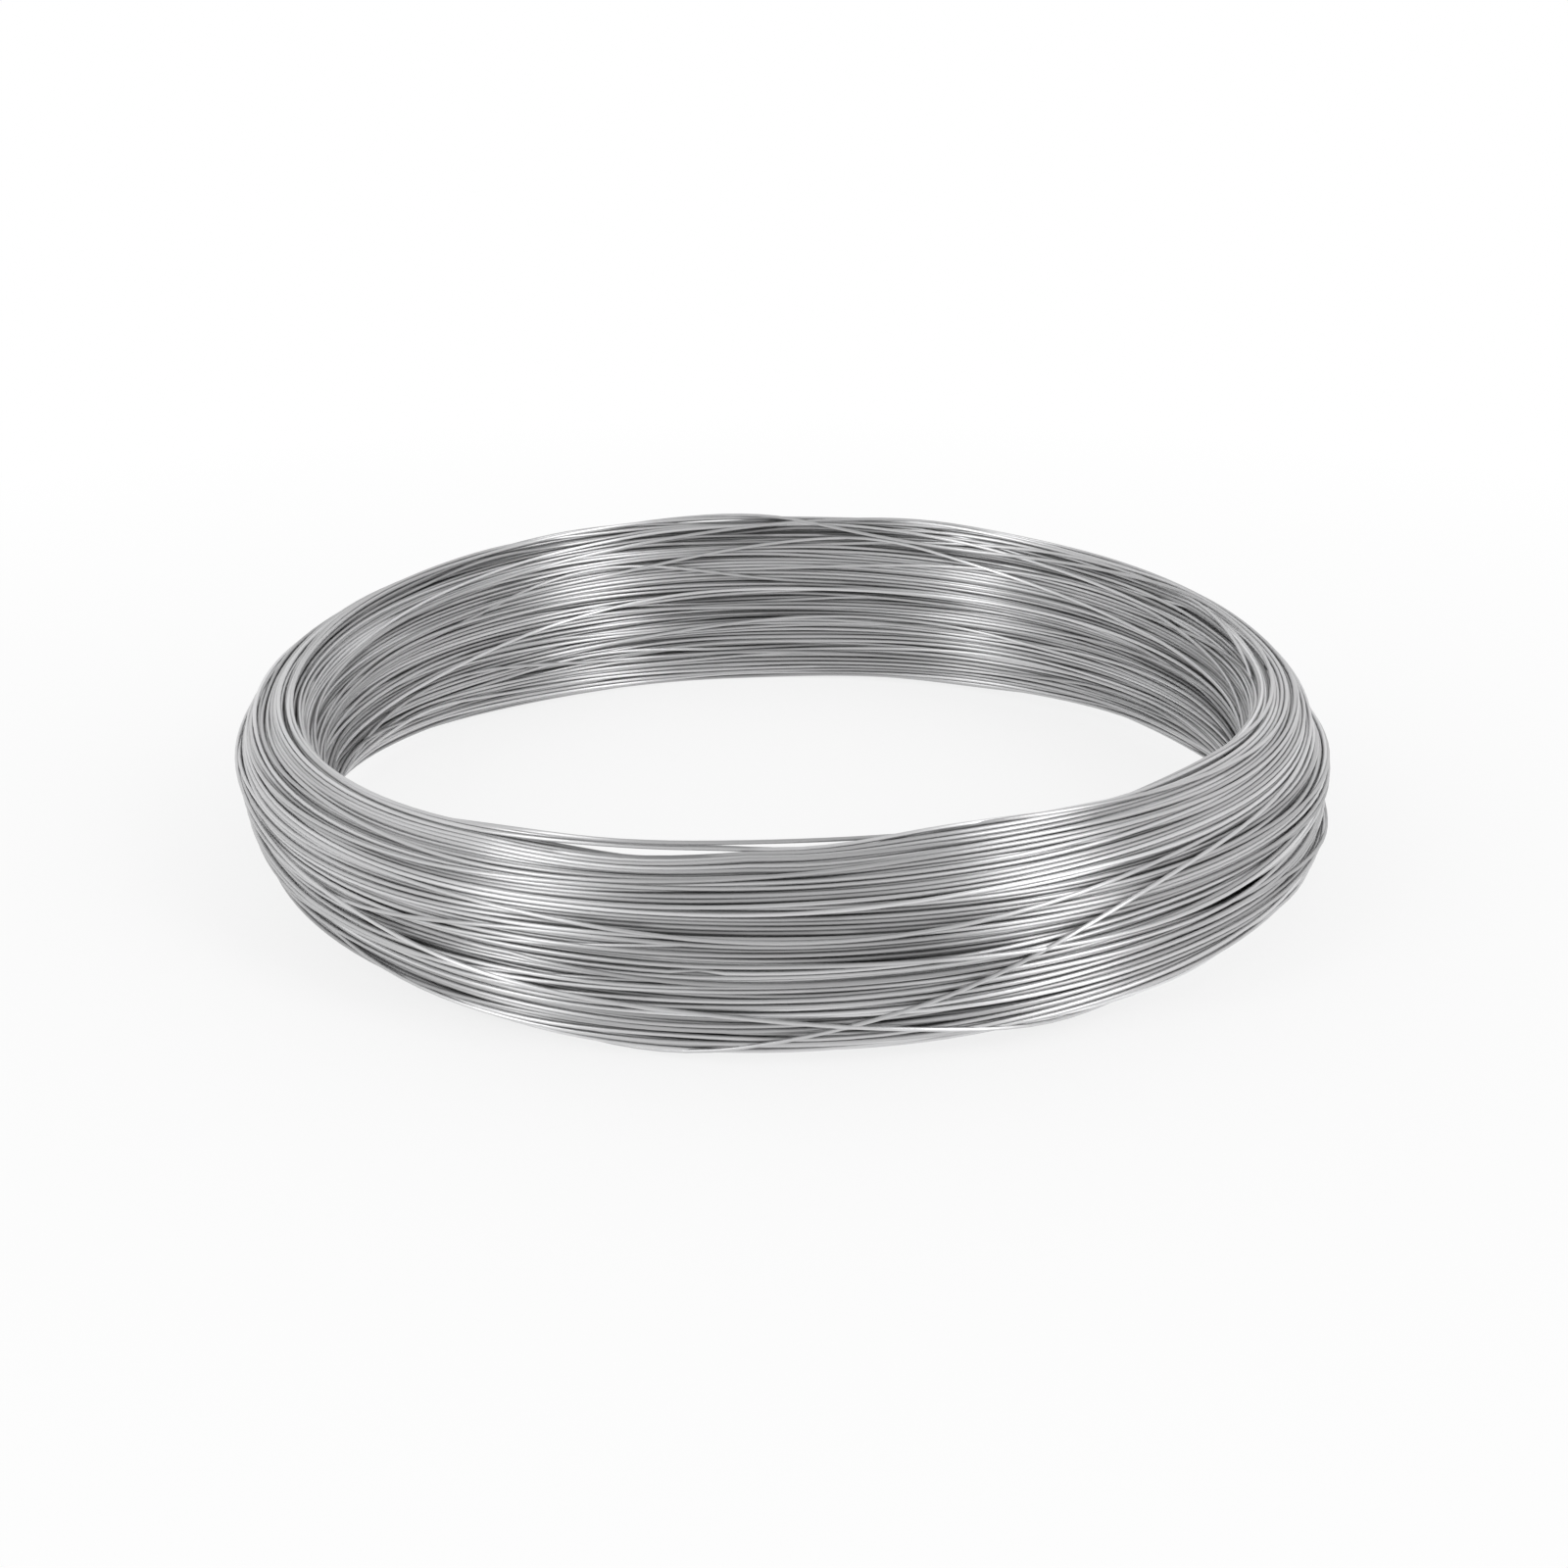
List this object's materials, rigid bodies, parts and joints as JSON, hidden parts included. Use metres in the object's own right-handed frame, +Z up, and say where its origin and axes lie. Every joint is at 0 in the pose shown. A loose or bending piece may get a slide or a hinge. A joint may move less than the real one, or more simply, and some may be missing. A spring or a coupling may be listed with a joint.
{
  "type": "coil of steel wire",
  "caption": "Ring-shaped coil of bright drawn steel wire, wound close and lying on its end, with a wide open bore that fits over a pay-off reel.",
  "frame": {"origin": "middle of the coil's axis at the level of the foot it lies on", "axes": "+Z up along the coil's axis, +X and +Y level across the ring"},
  "size_m": [0.45, 0.45, 0.078],
  "materials": {
    "wire": "bright drawn"
  },
  "bodies": {
    "root": {"wire_coil": "wire"}
  },
  "joints": []
}
